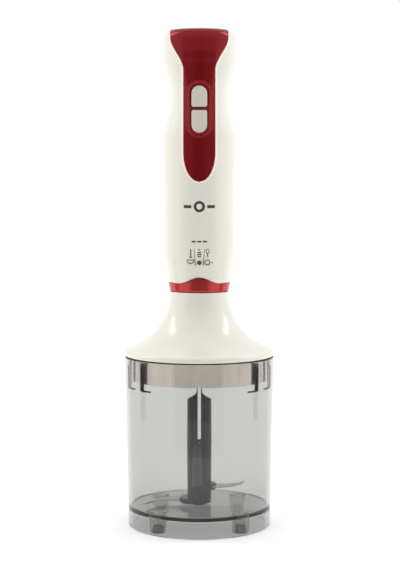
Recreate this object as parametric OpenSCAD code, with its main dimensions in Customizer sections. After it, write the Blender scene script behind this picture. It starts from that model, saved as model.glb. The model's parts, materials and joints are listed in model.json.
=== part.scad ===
// Hand-held electric blender motor handle standing on its chopper attachment.
// Millimetres, +Z up, origin on the base plane under the bowl's centre, front at -Y.

/* [Bowl] */
// Height of the bowl rim above the table
bowl_h = 127; // [122:1:134]
// Outer radius of the bowl at its rim
bowl_r = 56.5; // [55.5:0.5:58]
// Outer radius of the bowl at its foot
bowl_foot_r = 53.5; // [51:0.5:55]
// Thickness of the bowl wall
bowl_t = 2.4; // [2:0.1:2.6]
// Height of the bowl floor above the table
floor_z = 14.8; // [14:0.2:15.2]

/* [Lid] */
// Radius of the lid where it meets the handle
neck_r = 22.8; // [22.4:0.2:23.4]
// Thickness of the lid shell
lid_t = 2.4; // [2:0.1:2.8]
// Height of the metal band round the lid's plug
band_h = 16.2; // [14:0.2:17]

/* [Gears] */
// Tooth size of the reduction gears
gear_m = 0.8; // [0.78:0.01:0.82]
// Thickness of the gears
gear_t = 6; // [5:0.5:6.5]

/* [Blades] */
// Radius that the upper blade's tip reaches
upper_tip_r = 38; // [36:0.5:44]
// Radius that the lower blade's tip reaches
lower_tip_r = 44; // [38:0.5:46]
// Thickness of the blades
blade_t = 1.2; // [1:0.1:1.5]
// Radius of the blade hub's body
hub_r = 9.1; // [8.8:0.1:9.6]

/* [Handle] */
// Radius of the handle's barrel
grip_r = 27.1; // [26.8:0.1:27.6]
// Half width of the handle at its waist
waist_r = 21.3; // [20.8:0.1:22.5]
// Depth radius of the handle at its waist
waist_depth_r = 25.3; // [25:0.1:26.5]
// Radius of the handle's head
head_r = 27.4; // [27.1:0.1:27.9]
// Thickness of the handle shell
grip_t = 2.6; // [2.4:0.1:2.8]
// Half width of the control panel's straight part
panel_half = 12; // [11.6:0.1:12.4]
// Half width of the push buttons
button_half = 5.9; // [5.5:0.1:6.2]
// Travel of the push buttons
button_travel = 1.5; // [1:0.1:1.5]
// Radius of the blind cable bore
cable_bore_r = 3.3; // [3:0.1:3.6]

/* [Hidden] */
$fn = 96;
gap = 0.3;             // clearance between curved faces of different bodies
run = 0.05;            // radial clearance of a running fit
touch = 0.1;           // clearance between flat faces of different bodies

// Bowl.
floor_t = 2.2;
boss_h = 0.8;
post_x = 30;
post_y = 31;
post_h = floor_z - floor_t;
pin_r = 3;
pin_top = 58;
rim_in_r = bowl_r - bowl_t;
rib_h = 22.5;
rib_t = 1.2;
rib_depth = 1.5;
rib_half_a = 0.7;
rib_foot_a = 10;
rib_angles = [51, 72];

// Lid, in heights above the bowl's rim.
lip_z = 4.1;
lid_low = 1.6;
flare_top = 45;
flare_b = 46;
flare_end = asin((flare_top - lip_z) / flare_b);
flare_a = (bowl_r - neck_r) / (1 - cos(flare_end));
flare_steps = 22;
shoulder_z = 49.2;
spigot_r = 18;
spigot_in_r = 14.4;
spigot_top = 67;
band_r = bowl_r - 4.8;
band_t = 0.8;
plug_r = band_r - band_t;
plug_in_r = plug_r - 2.4;
plug_low = -17.2;
plate_t = 3;
plate_top = plug_low + plate_t;
gasket_in_r = 18.7;
gasket_out_r = 21.3;
gasket_low = 48;
gasket_h = 1.3;

// Gears.
sun_n = 12;
planet_n = 24;
ring_n = 60;
pressure = 25;
backlash = 0.17;
orbit_r = gear_m * (sun_n + planet_n) / 2;
gear_z = -11;
ring_out_r = 34;
screw_r = 30;
sun_shaft_r = 3;
planet_pin_r = 2;
carrier_low = -13.4;
carrier_top = -11.4;
carrier_hub_r = 7;
socket_r = 5;
socket_in_r = 3.5;
cover_low = gear_z + gear_t + 1;
cover_t = 2.6;
coupling_z = 56;
in_bush_r = 5.5;
in_bush_h = 6;
neck_bush_r = 6;
out_bush_r = 8.5;
flange_r = 52.3;
flange_low = 0.6;
flange_top = 3;

// Blade hub, in heights above the table.
hub_low = 16.2;
hub_top = bowl_h - 32.6;
collar_z = 26.2;
collar_h = 4.4;
collar_r = 9.4;
collar_x = 3.6;
heel_h = 3.8;
heel_r = 10.4;
heel_x = 5;
hub_neck_top = bowl_h - 14;
slot_half = 1.25;
slot_low = 62;
slot_top = hub_neck_top - 9.2;
hub_bore_r = 5;
neck_pin_r = 2;
tongue_r = 3;
tongue_y = 8.2;
tongue_turn = -9;
tongue_dome = 3;
tongue_low = 30;
blade_in_r = 7;
root_r = 8;
upper_blade_z = 28;
lower_blade_z = 17.4;

// Handle, in heights above its lower end.
grip_z = bowl_h + 49.5;
ring_side = 6.5;
ring_arch = 4.6;
arch_half = 15.5;
ring_in_r = 20.5;
waist_z = 144.5;
waist_half_len = 30;
scallop_len = 28;
scallop_end = 150;
waist_steps = 16;
head_z = 191.3;
top_z = 197.8;
corner_r = 6.5;
corner_h = 6;
panel_t = 1.3;
panel_tip = 82.5;
panel_round = 22;
panel_flare = 167.5;
panel_flare_len = 23;
panel_wide = 21.9;
bezel_half = 9.7;
bezel_low = 127;
bezel_high = 148.6;
bezel_h = 0.8;
button_h = 1.2;
upper_low = 138.5;
upper_high = 154.5;
lower_low = 119.2;
lower_high = 136.3;
flange_in = 3.2;
flange_t = 1.2;
stem_r = 2;
board_y = -13;
board_t = 1.6;
switch_h = 3.2;
plunger_h = 0.8;
twist_max = 25;
lug_z = 10;
lug_h = 3;
lug_half_a = 8;
channel_half_a = 9.2;
lug_in_r = 16.7;
channel_in_r = 16.2;
motor_low = 36.5;
motor_len = 57;
motor_r = 20.5;
shaft_r = 2.5;
shaft_low = 18;
shaft_top = 110;
fan_z = 26.5;
fan_r = 18.5;
gland_y = 14;
gland_h = 14;
gland_r = 6;
cable_depth = 10;
web_z = 19.5;
lower_mount_z = 32;
upper_mount_z = 101.5;
bearing_r = 5.5;
bolt_at_r = 22.3;
core_r = 14.6;
slot_w = 2.4;

// ---------- shared shapes ----------

module ring(r_out, r_in, h) {
    rotate_extrude()
        translate([r_in, 0])
            square([r_out - r_in, h]);
}

function bowl_out_r(z) = bowl_foot_r + (bowl_r - bowl_foot_r) * z / bowl_h;

function smooth(t) = t * t * (3 - 2 * t);

// Half width of a tooth, as an angle, at radius r of a gear with n teeth.
function inv(a) = tan(a) - a * PI / 180;
function tooth_half(n, r) =
    let (rp = gear_m * n / 2, rb = rp * cos(pressure))
    let (a = acos(min(1, rb / max(r, rb))))
    (PI / (2 * n) - backlash / (4 * rp) + inv(pressure) - inv(a)) * 180 / PI;

function polar(r, a) = [r * cos(a), r * sin(a)];

// External spur gear profile, one tooth centred on +X.
function gear_points(n) =
    let (rp = gear_m * n / 2, ra = rp + 0.9 * gear_m, rf = rp - 1.15 * gear_m)
    let (rb = rp * cos(pressure), r0 = max(rf, rb), steps = 4)
    [for (i = [0:n - 1], side = [-1, 1], k = [0:steps + 1])
        let (j = side < 0 ? k : steps + 1 - k)
        let (r = j == 0 ? rf : r0 + (ra - r0) * (j - 1) / steps)
        polar(r, i * 360 / n + side * tooth_half(n, r))];

// Internal gear opening, one tooth of the ring centred on +X.
function space_half(n, r) =
    let (rp = gear_m * n / 2, rb = rp * cos(pressure), a = acos(min(1, rb / r)))
    (PI / (2 * n) + backlash / (4 * rp) + inv(pressure) - inv(a)) * 180 / PI;
function ring_points(n) =
    let (rp = gear_m * n / 2, r_tip = rp - 0.85 * gear_m, r_root = rp + 1.15 * gear_m, steps = 4)
    [for (i = [0:n - 1], side = [-1, 1], k = [0:steps])
        let (t = side < 0 ? k / steps : 1 - k / steps)
        let (r = r_tip + (r_root - r_tip) * t)
        polar(r, (i + 0.5) * 360 / n + side * space_half(n, r))];

// ---------- bowl ----------

// L-shaped rib on the inside of the rim: an upright and a foot that turns by dir.
module bowl_rib(a, dir) {
    rotate([0, 0, -90 + a])
        union() {
            rotate([0, 0, -rib_half_a])
                rotate_extrude(angle = 2 * rib_half_a)
                    translate([rim_in_r - rib_depth, bowl_h - rib_h + rib_t / 2])
                        square([rib_depth + 1, rib_h - 2]);
            rotate([0, 0, dir > 0 ? 0 : -rib_foot_a])
                rotate_extrude(angle = rib_foot_a)
                    translate([rim_in_r - rib_depth - 0.3, bowl_h - rib_h])
                        square([rib_depth + 0.9, rib_t]);
        }
}

module bowl() {
    color([0.55, 0.56, 0.58, 0.5])
        difference() {
            union() {
                rotate_extrude()
                    polygon([
                        [0, floor_z - floor_t], [bowl_out_r(post_h) - bowl_t, floor_z - floor_t],
                        [bowl_foot_r - bowl_t, 0], [bowl_foot_r, 0], [bowl_r, bowl_h],
                        [rim_in_r, bowl_h], [bowl_out_r(floor_z + 1) - bowl_t, floor_z + 1],
                        [bowl_out_r(floor_z) - bowl_t - 1, floor_z], [6, floor_z],
                        [5, floor_z + boss_h], [0, floor_z + boss_h]]);
                for (sx = [-1, 1], sy = [-1, 1])
                    translate([sx * post_x, sy * post_y, 0.8])
                        cylinder(r1 = 5.8, r2 = 6.6, h = post_h);
                for (side = [-1, 1], a = rib_angles)
                    bowl_rib(side * a, -side);
            }
            translate([0, 0, floor_z - floor_t + 1])
                cylinder(r = pin_r, h = floor_t + 1);
            for (sx = [-1, 1], sy = [-1, 1])
                translate([sx * post_x, sy * post_y, 0])
                    cylinder(r = 4, h = post_h);
        }
}

module bowl_pin() {
    color([0.75, 0.75, 0.76])
        translate([0, 0, floor_z - floor_t + 1])
            union() {
                cylinder(r = pin_r, h = pin_top - floor_z + floor_t - 2);
                translate([0, 0, pin_top - floor_z + floor_t - 2])
                    cylinder(r1 = pin_r, r2 = 1.6, h = 1.4);
            }
}

module foot_pads() {
    color([0.3, 0.3, 0.31])
        for (sx = [-1, 1], sy = [-1, 1])
            translate([sx * post_x, sy * post_y, 0])
                union() {
                    cylinder(r = 5.4, h = 0.8);
                    translate([0, 0, 0.8])
                        cylinder(r = 4, h = 5);
                }
}

// ---------- blade ----------

// Disc with chamfered edges.
module soft_disc(r, h) {
    rotate_extrude()
        polygon([[0, 0], [r - 1, 0], [r, 1], [r, h - 1.2], [r - 1.2, h], [0, h]]);
}

module tongue() {
    body_h = slot_low - tongue_dome - tongue_low;
    rotate([0, 0, tongue_turn])
        translate([0, -tongue_y, tongue_low])
            union() {
                cylinder(r1 = tongue_r + 1.6, r2 = tongue_r, h = body_h);
                translate([0, 0, body_h])
                    cylinder(r1 = tongue_r, r2 = 0.6, h = tongue_dome);
            }
}

module blade_hub() {
    color([0.16, 0.16, 0.17])
        difference() {
            union() {
                rotate_extrude()
                    polygon(concat([[0, hub_low], [hub_r - 0.1, hub_low], [hub_r + 0.3, slot_low]],
                        [for (i = [0:8])
                            [neck_pin_r + (hub_r - neck_pin_r) * pow(1 - i / 8, 2.2), hub_top + i * 0.75]],
                        [[neck_pin_r, hub_neck_top], [0, hub_neck_top]]));
                translate([-0.7, -3.2, hub_neck_top - 8])
                    cube([1.4, 6.4, 8]);
                translate([collar_x, 0, collar_z])
                    soft_disc(collar_r, collar_h);
                translate([-heel_x, 0, hub_low])
                    soft_disc(heel_r, heel_h);
                tongue();
            }
            translate([0, 0, hub_low - 1])
                cylinder(r = hub_bore_r, h = hub_top - hub_low - 2);
            translate([-slot_half, -20, slot_low])
                cube([2 * slot_half, 40, slot_top - slot_low]);
            sickle_blade(upper_blade_z, upper_tip_r);
            rotate([0, 0, 180])
                sickle_blade(lower_blade_z, lower_tip_r);
        }
}

module hub_bush() {
    color([0.62, 0.5, 0.28])
        translate([0, 0, hub_low + 1])
            ring(hub_bore_r, pin_r + run, pin_top - hub_low - 3);
}

// Crescent blade whose root is on +X and whose tip is turned towards +Y.
function sickle_at(t, tip_r, side) =
    let (r = root_r - 0.4 + (tip_r - root_r + 0.4) * t)
    let (w = 16 * pow(1 - t, 0.65) + 0.6)
    polar(r, -16 + 38 * pow(t, 1.6) + side * w / (2 * r) * 180 / PI);

module sickle_blade(z, tip_r) {
    translate([0, 0, z])
        difference() {
            union() {
                linear_extrude(height = blade_t)
                    polygon(concat([for (i = [0:16]) sickle_at(i / 16, tip_r, -1)],
                        [for (i = [16:-1:0]) sickle_at(i / 16, tip_r, 1)]));
                cylinder(r = root_r, h = blade_t);
            }
            translate([0, 0, -1])
                cylinder(r = blade_in_r, h = blade_t + 2);
        }
}

module upper_blade() {
    color([0.8, 0.8, 0.81])
        sickle_blade(upper_blade_z, upper_tip_r);
}

module lower_blade() {
    color([0.8, 0.8, 0.81])
        rotate([0, 0, 180])
            sickle_blade(lower_blade_z, lower_tip_r);
}

// ---------- lid ----------

function flare_point(a) =
    [neck_r + flare_a * (1 - cos(a)), flare_top - flare_b * sin(a)];
function flare_inner(a) =
    let (nx = flare_b * cos(a), nz = flare_a * sin(a), n = sqrt(nx * nx + nz * nz))
    flare_point(a) - lid_t * [nx, nz] / n;

// Sector of the spigot's wall, cut for a lug of the handle.
module lid_channel(a_low, a_high, low, high) {
    rotate([0, 0, a_low - channel_half_a])
        rotate_extrude(angle = a_high - a_low + 2 * channel_half_a)
            translate([channel_in_r, low])
                square([spigot_r + 1 - channel_in_r, high - low]);
}

module lid_cover() {
    in_end = flare_end * 0.95;
    lug_floor = lug_z + grip_z - bowl_h - 0.5;
    color([0.93, 0.92, 0.87])
        translate([0, 0, bowl_h])
            difference() {
                union() {
                    rotate_extrude()
                        polygon(concat([[0, shoulder_z], [neck_r, shoulder_z]],
                            [for (i = [0:flare_steps]) flare_point(flare_end * i / flare_steps)],
                            [[bowl_r, lid_low + 0.6], [bowl_r - 0.6, lid_low],
                                [flare_inner(in_end)[0], lid_low]],
                            [for (i = [flare_steps:-1:0]) flare_inner(in_end * i / flare_steps)],
                            [[0, flare_top]]));
                    translate([0, 0, flare_top - 3])
                        cylinder(r = spigot_r, h = spigot_top - flare_top + 3);
                }
                translate([0, 0, shoulder_z])
                    cylinder(r = spigot_in_r, h = 30);
                cylinder(r = neck_bush_r, h = 80);
                translate([0, 0, gasket_low - touch])
                    ring(gasket_out_r + gap, gasket_in_r - gap, 10);
                for (a = [0, 180]) {
                    lid_channel(a, a, lug_floor, spigot_top + 1);
                    lid_channel(a, a + twist_max, lug_floor, lug_floor + lug_h + 1);
                }
            }
}

module lid_band() {
    color([0.72, 0.68, 0.62])
        translate([0, 0, bowl_h + plug_low])
            ring(band_r, plug_r, band_h);
}

module lid_base() {
    color([0.75, 0.74, 0.7])
        translate([0, 0, bowl_h])
            difference() {
                union() {
                    translate([0, 0, plug_low])
                        ring(plug_r, out_bush_r, plate_t);
                    translate([0, 0, plug_low])
                        ring(plug_r, plug_in_r, flange_top - plug_low);
                    translate([0, 0, flange_low])
                        ring(flange_r, plug_in_r, flange_top - flange_low);
                    translate([0, 0, plate_top - 1])
                        ring(ring_out_r, ring_out_r - 8, gear_z - plate_top + 1);
                }
                for (a = [45:90:315])
                    rotate([0, 0, a])
                        translate([screw_r, 0, plug_low + 1.6])
                            cylinder(r = 1.5, h = 10);
            }
}

module lid_seal() {
    color([0.13, 0.12, 0.12])
        translate([0, 0, bowl_h + touch])
            ring(bowl_r - 0.4, flange_r, lid_low - touch);
}

module ring_gear() {
    color([0.85, 0.83, 0.75])
        translate([0, 0, bowl_h + gear_z])
            linear_extrude(height = cover_low - gear_z)
                difference() {
                    circle(r = ring_out_r);
                    polygon(ring_points(ring_n));
                    for (a = [45:90:315])
                        rotate(a)
                            translate([screw_r, 0])
                                circle(r = 1.5);
                }
}

module gearbox_cover() {
    color([0.7, 0.7, 0.68])
        translate([0, 0, bowl_h + cover_low])
            difference() {
                union() {
                    cylinder(r = ring_out_r, h = cover_t);
                    cylinder(r = in_bush_r + 3, h = in_bush_h);
                }
                translate([0, 0, -1])
                    cylinder(r = in_bush_r, h = in_bush_h + 2);
                for (a = [45:90:315])
                    rotate([0, 0, a])
                        translate([screw_r, 0, -1])
                            cylinder(r = 1.5, h = cover_t + 2);
            }
}

module input_bush() {
    color([0.62, 0.5, 0.28])
        translate([0, 0, bowl_h + cover_low])
            ring(in_bush_r, sun_shaft_r + run, in_bush_h);
}

module neck_bush() {
    color([0.62, 0.5, 0.28])
        translate([0, 0, bowl_h + flare_top - 3])
            ring(neck_bush_r, sun_shaft_r + run, shoulder_z - flare_top + 3);
}

module output_bush() {
    color([0.62, 0.5, 0.28])
        translate([0, 0, bowl_h + plug_low])
            ring(out_bush_r, carrier_hub_r + run, plate_t);
}

module lid_screws() {
    color([0.6, 0.6, 0.62])
        for (a = [45:90:315])
            rotate([0, 0, a])
                translate([screw_r, 0, bowl_h + plug_low + 1.6])
                    union() {
                        cylinder(r = 1.5, h = cover_low + cover_t - plug_low - 1.6);
                        translate([0, 0, cover_low + cover_t - plug_low - 1.6])
                            cylinder(r = 2.8, h = 1.8);
                    }
}

// ---------- lid gears ----------

module sun_gear() {
    color([0.7, 0.7, 0.72])
        translate([0, 0, bowl_h])
            union() {
                translate([0, 0, gear_z])
                    linear_extrude(height = gear_t)
                        polygon(gear_points(sun_n));
                translate([0, 0, gear_z])
                    cylinder(r = sun_shaft_r, h = coupling_z + 8 - gear_z);
            }
}

module lid_coupling() {
    color([0.2, 0.2, 0.21])
        translate([0, 0, bowl_h + coupling_z])
            difference() {
                union() {
                    cylinder(r = 5.5, h = 10);
                    translate([-10, -1.5, 4])
                        cube([20, 3, 6]);
                }
                translate([0, 0, -1])
                    cylinder(r = sun_shaft_r, h = 9);
            }
}

module planet_carrier() {
    color([0.65, 0.65, 0.67])
        translate([0, 0, bowl_h])
            difference() {
                union() {
                    translate([0, 0, carrier_low])
                        cylinder(r = 18.5, h = carrier_top - carrier_low);
                    translate([0, 0, plug_low + 0.2])
                        cylinder(r = carrier_hub_r, h = carrier_low - plug_low);
                }
                translate([0, 0, plug_low - 1])
                    cylinder(r = socket_r, h = carrier_low - plug_low + 1);
                for (a = [0:120:240])
                    rotate([0, 0, a])
                        translate([orbit_r, 0, carrier_low - 1])
                            cylinder(r = planet_pin_r, h = 5);
            }
}

module planet_pins() {
    color([0.8, 0.8, 0.82])
        for (a = [0:120:240])
            rotate([0, 0, a])
                translate([orbit_r, 0, bowl_h + carrier_low])
                    cylinder(r = planet_pin_r, h = gear_z + gear_t - carrier_low + 0.5);
}

module output_socket() {
    color([0.6, 0.6, 0.62])
        translate([0, 0, bowl_h + plug_low + 0.2])
            union() {
                ring(socket_r, socket_in_r + 0.1, carrier_low - plug_low - 0.2);
                for (side = [0, 180])
                    rotate([0, 0, side])
                        translate([2.6, -0.6, 0])
                            cube([1.6, 1.2, carrier_low - plug_low - 0.2]);
            }
}

module planet_gear(a) {
    color([0.86, 0.84, 0.76])
        rotate([0, 0, a])
            translate([orbit_r, 0, bowl_h + gear_z])
                linear_extrude(height = gear_t)
                    difference() {
                        rotate(180 / planet_n)
                            polygon(gear_points(planet_n));
                        circle(r = planet_pin_r + run);
                    }
}

module planet_gear_1() { planet_gear(0); }
module planet_gear_2() { planet_gear(120); }
module planet_gear_3() { planet_gear(240); }

module neck_gasket() {
    color([0.15, 0.15, 0.15])
        translate([0, 0, bowl_h + gasket_low])
            ring(gasket_out_r, gasket_in_r, gasket_h);
}

// ---------- handle shell ----------

function wave(z, length) = (1 - cos(180 * (z - waist_z) / length)) / 2;
function depth_r(z) = waist_depth_r + (grip_r - waist_depth_r) * wave(z, waist_half_len);
function scallop_x(z) =
    waist_r + (grip_r - waist_r) * (1 - cos(scallop_end * (z - waist_z) / scallop_len))
    / (1 - cos(scallop_end));

// Body of the handle drawn in by d all round, from height low.
module grip_solid(d, low = 0) {
    intersection() {
        rotate_extrude()
            polygon(concat([[0, low], [22.2 - d, low]],
                low < 0 ? [[22.2 - d, 0]] : [],
                [[23.4 - d, ring_side], [24.6 - d, 13.5], [26.3 - d, 22.5], [grip_r - d, 27.5]],
                [for (i = [0:waist_steps])
                    let (z = waist_z + waist_half_len * (2 * i / waist_steps - 1))
                    [depth_r(z) - d, z]],
                [[head_r - d, waist_z + waist_half_len + 4]],
                [for (a = [0:15:90])
                    [head_r - corner_r + (corner_r - d) * cos(a), head_z + (corner_h - d) * sin(a)]],
                [[0, top_z - d]]));
        rotate([90, 0, 0])
            translate([0, 0, -40])
                linear_extrude(height = 80)
                    polygon(both_sides(concat([[40, -5]], [[40, waist_z - scallop_len - 3]],
                        [for (i = [0:waist_steps])
                            let (z = waist_z + scallop_len * (2 * i / waist_steps - 1))
                            [scallop_x(z) - d, z]],
                        [[40, waist_z + scallop_len + 3], [40, 220]])));
    }
}

// Closed outline from its right-hand side, listed upwards.
function both_sides(side) =
    concat(side, [for (i = [len(side) - 1:-1:0]) if (side[i][0] > 0) [-side[i][0], side[i][1]]]);

module front_prism(height = 60) {
    rotate([90, 0, 0])
        linear_extrude(height = height)
            children();
}

module panel_outline() {
    polygon(both_sides(concat(
        [for (a = [0:10:90]) [panel_half * sin(a), panel_tip + panel_round * (1 - cos(a))]],
        [for (i = [0:8])
            [panel_half + (panel_wide - panel_half) * smooth(i / 8), panel_flare + panel_flare_len * i / 8]],
        [[panel_wide, 210]])));
}

module bezel_outline() {
    union() {
        translate([0, bezel_low])
            circle(r = bezel_half);
        translate([0, bezel_high])
            circle(r = bezel_half);
        translate([-bezel_half, bezel_low])
            square([2 * bezel_half, bezel_high - bezel_low]);
    }
}

// Push button outline with one round end, grown by g all round.
module button_outline(low, high, round_top, g) {
    union() {
        translate([0, round_top ? high - button_half : low + button_half])
            circle(r = button_half + g);
        translate([-button_half - g, round_top ? low - g : low + button_half])
            square([2 * (button_half + g), high - low - button_half + g]);
    }
}

module button_holes(g) {
    front_prism()
        button_outline(upper_low, upper_high, true, g);
    front_prism()
        button_outline(lower_low, lower_high, false, g);
}

// Space of the collar ring, arched at the front.
module collar_space() {
    union() {
        translate([-40, -40, -1])
            cube([80, 80, ring_side + 1]);
        front_prism()
            polygon(concat([[-arch_half, 0]],
                [for (i = [-8:8])
                    [arch_half * i / 8, ring_side + ring_arch * (1 + cos(180 * i / 8)) / 2]],
                [[arch_half, 0]]));
    }
}

module half_shell(front) {
    difference() {
        grip_solid(0);
        grip_solid(grip_t, -2);
        collar_space();
        translate([-50, front ? 0 : -50, -10])
            cube([100, 50, 230]);
    }
}

module front_housing() {
    color([0.93, 0.92, 0.87])
        translate([0, 0, grip_z])
            difference() {
                union() {
                    half_shell(true);
                    intersection() {
                        grip_solid(grip_t - 0.5);
                        for (sx = [-1, 1], z = [113.5, 169])
                            translate([sx * 11, 0, z])
                                rotate([90, 0, 0])
                                    translate([0, 0, -board_y])
                                        cylinder(r = 2.6, h = 20);
                    }
                }
                difference() {
                    front_prism()
                        panel_outline();
                    grip_solid(panel_t);
                }
                button_holes(gap);
            }
}

module rear_housing() {
    color([0.93, 0.92, 0.87])
        translate([0, 0, grip_z])
            difference() {
                half_shell(false);
                translate([0, gland_y, top_z - gland_h])
                    cylinder(r = gland_r, h = gland_h + 5);
                for (x = [-12:6:12])
                    translate([x - 1, 10, 26])
                        cube([2, 30, 14]);
            }
}

module control_panel() {
    color([0.55, 0.05, 0.08])
        translate([0, 0, grip_z])
            difference() {
                union() {
                    intersection() {
                        grip_solid(0);
                        front_prism()
                            panel_outline();
                    }
                    intersection() {
                        grip_solid(-bezel_h);
                        front_prism()
                            bezel_outline();
                    }
                }
                grip_solid(panel_t, -2);
                button_holes(gap);
            }
}

module collar_ring() {
    color([0.7, 0.06, 0.1])
        translate([0, 0, grip_z])
            difference() {
                intersection() {
                    grip_solid(0);
                    collar_space();
                }
                translate([0, 0, -1])
                    cylinder(r = ring_in_r, h = 20);
            }
}

module coupling_socket() {
    color([0.3, 0.3, 0.31])
        translate([0, 0, grip_z])
            union() {
                translate([0, 0, gap])
                    ring(ring_in_r, spigot_r + gap, web_z - gap);
                translate([0, 0, web_z])
                    ring(23, 13, 2.5);
                for (a = [0, 180])
                    rotate([0, 0, a - lug_half_a])
                        rotate_extrude(angle = 2 * lug_half_a)
                            translate([lug_in_r, lug_z])
                                square([ring_in_r - 1 - lug_in_r, lug_h]);
            }
}

module cable_gland() {
    color([0.2, 0.2, 0.2])
        translate([0, gland_y, grip_z + top_z - gland_h])
            difference() {
                union() {
                    cylinder(r = gland_r, h = gland_h);
                    translate([0, 0, gland_h - grip_t - 3])
                        cylinder(r = gland_r + 2, h = 2);
                }
                translate([0, 0, gland_h - cable_depth])
                    cylinder(r = cable_bore_r, h = cable_depth + 1);
            }
}

// ---------- buttons ----------

module push_button(low, high, round_top) {
    mid = (low + high) / 2;
    stem_end = -board_y + switch_h + plunger_h + button_travel + touch;
    color([0.76, 0.75, 0.69])
        translate([0, 0, grip_z])
            union() {
                intersection() {
                    front_prism()
                        button_outline(low, high, round_top, 0);
                    difference() {
                        grip_solid(-button_h);
                        grip_solid(flange_in + flange_t);
                    }
                }
                intersection() {
                    front_prism()
                        button_outline(low, high, round_top, 0.8);
                    difference() {
                        grip_solid(flange_in);
                        grip_solid(flange_in + flange_t);
                    }
                }
                translate([0, -stem_end, mid])
                    rotate([90, 0, 0])
                        cylinder(r = stem_r, h = depth_r(mid) - flange_in - 0.5 - stem_end);
            }
}

module upper_button() { push_button(upper_low, upper_high, true); }
module lower_button() { push_button(lower_low, lower_high, false); }

module button_spring(mid) {
    h = depth_r(mid) - flange_in - flange_t - 0.4 + board_y;
    color([0.35, 0.35, 0.36])
        translate([0, board_y, grip_z + mid])
            rotate([90, 0, 0])
                rotate_extrude()
                    polygon([[4.9, 0], [6.4, 0], [6.4, 1], [3.6, h - 1], [3.6, h], [2.6, h], [2.6, h - 1.2],
                        [4.9, 1.6]]);
}

module upper_button_spring() { button_spring((upper_low + upper_high) / 2); }
module lower_button_spring() { button_spring((lower_low + lower_high) / 2); }

module circuit_board() {
    color([0.1, 0.35, 0.2])
        translate([-15, board_y, grip_z + 110])
            cube([30, board_t, 62]);
}

module board_components() {
    back = board_y + board_t;
    color([0.25, 0.25, 0.28])
        translate([0, back, grip_z])
            union() {
                translate([-12, 0, 114])
                    cube([24, 3, 52]);
                translate([-10, 2, 118])
                    cube([9, 8, 14]);
                translate([6, 2, 130])
                    rotate([-90, 0, 0])
                        cylinder(r = 5, h = 12);
                translate([-8, 2, 146])
                    cube([16, 9, 14]);
            }
}

module switch_part(mid) {
    color([0.12, 0.12, 0.12])
        translate([0, board_y, grip_z + mid])
            rotate([90, 0, 0])
                union() {
                    translate([-3, -3, 0])
                        cube([6, 6, switch_h]);
                    cylinder(r = 1.2, h = switch_h + plunger_h);
                }
}

module upper_switch() { switch_part((upper_low + upper_high) / 2); }
module lower_switch() { switch_part((lower_low + lower_high) / 2); }

// ---------- motor ----------

module motor_can() {
    color([0.6, 0.6, 0.62])
        translate([0, 0, grip_z + motor_low])
            ring(motor_r, motor_r - 1.7, motor_len);
}

module magnets() {
    color([0.2, 0.2, 0.22])
        translate([0, 0, grip_z + motor_low + 7.5])
            for (a = [25, 205])
                rotate([0, 0, a])
                    rotate_extrude(angle = 130)
                        translate([15.4, 0])
                            square([motor_r - 1.7 - 15.4, 40]);
}

module brush_plate() {
    color([0.5, 0.3, 0.15])
        translate([0, 0, grip_z + motor_low + motor_len])
            ring(motor_r, 8, 2);
}

module brushes() {
    color([0.15, 0.15, 0.15])
        translate([0, 0, grip_z + motor_low + motor_len + 2])
            for (a = [0, 180])
                rotate([0, 0, a])
                    translate([6.8, -2.5, 0])
                        cube([8, 5, 5]);
}

module bearing(low) {
    color([0.75, 0.75, 0.77])
        translate([0, 0, grip_z + low])
            ring(bearing_r, shaft_r + run, 4);
}

module lower_bearing() { bearing(lower_mount_z + 0.3); }
module upper_bearing() { bearing(upper_mount_z + 0.3); }

module motor_plate(low, thick) {
    difference() {
        translate([0, 0, low])
            ring(24.3, bearing_r, thick);
        for (a = [0:60:300])
            rotate([0, 0, a])
                translate([14, 0, low - 1])
                    cylinder(r = 3.6, h = thick + 2);
        for (a = [30, 150, 210, 330])
            rotate([0, 0, a])
                translate([bolt_at_r, 0, low - 1])
                    cylinder(r = 1.2, h = thick + 2);
    }
}

module lower_mount() {
    color([0.3, 0.3, 0.32])
        translate([0, 0, grip_z])
            motor_plate(lower_mount_z, motor_low - lower_mount_z);
}

module upper_mount() {
    color([0.3, 0.3, 0.32])
        translate([0, 0, grip_z])
            motor_plate(upper_mount_z, 4.3);
}

module mount_screws() {
    color([0.7, 0.7, 0.72])
        translate([0, 0, grip_z])
            for (a = [30, 150, 210, 330])
                rotate([0, 0, a])
                    translate([bolt_at_r, 0, lower_mount_z])
                        union() {
                            cylinder(r = 1.2, h = upper_mount_z + 4.3 - lower_mount_z);
                            translate([0, 0, upper_mount_z + 4.3 - lower_mount_z])
                                cylinder(r = 2, h = 1.5);
                        }
}

// ---------- rotor ----------

module motor_shaft() {
    color([0.78, 0.78, 0.8])
        translate([0, 0, grip_z + shaft_low])
            cylinder(r = shaft_r, h = shaft_top - shaft_low);
}

module armature_core() {
    color([0.45, 0.45, 0.48])
        translate([0, 0, grip_z + motor_low + 9.5])
            linear_extrude(height = 36)
                difference() {
                    circle(r = core_r);
                    circle(r = shaft_r);
                    for (a = [0:45:315])
                        rotate(a)
                            translate([8, -slot_w / 2])
                                square([10, slot_w]);
                }
}

module armature_windings() {
    color([0.7, 0.35, 0.15])
        translate([0, 0, grip_z + motor_low])
            union() {
                translate([0, 0, 3.5])
                    ring(12.5, 4.5, 6);
                translate([0, 0, 45.5])
                    ring(12.5, 4.5, 6);
                for (a = [0:45:315])
                    rotate([0, 0, a])
                        translate([8.4, -slot_w / 2 + 0.1, 5])
                            cube([3.8, slot_w - 0.2, 45]);
            }
}

module commutator() {
    color([0.72, 0.42, 0.2])
        translate([0, 0, grip_z + motor_low + motor_len - 4])
            ring(6.5, shaft_r, 11);
}

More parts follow.
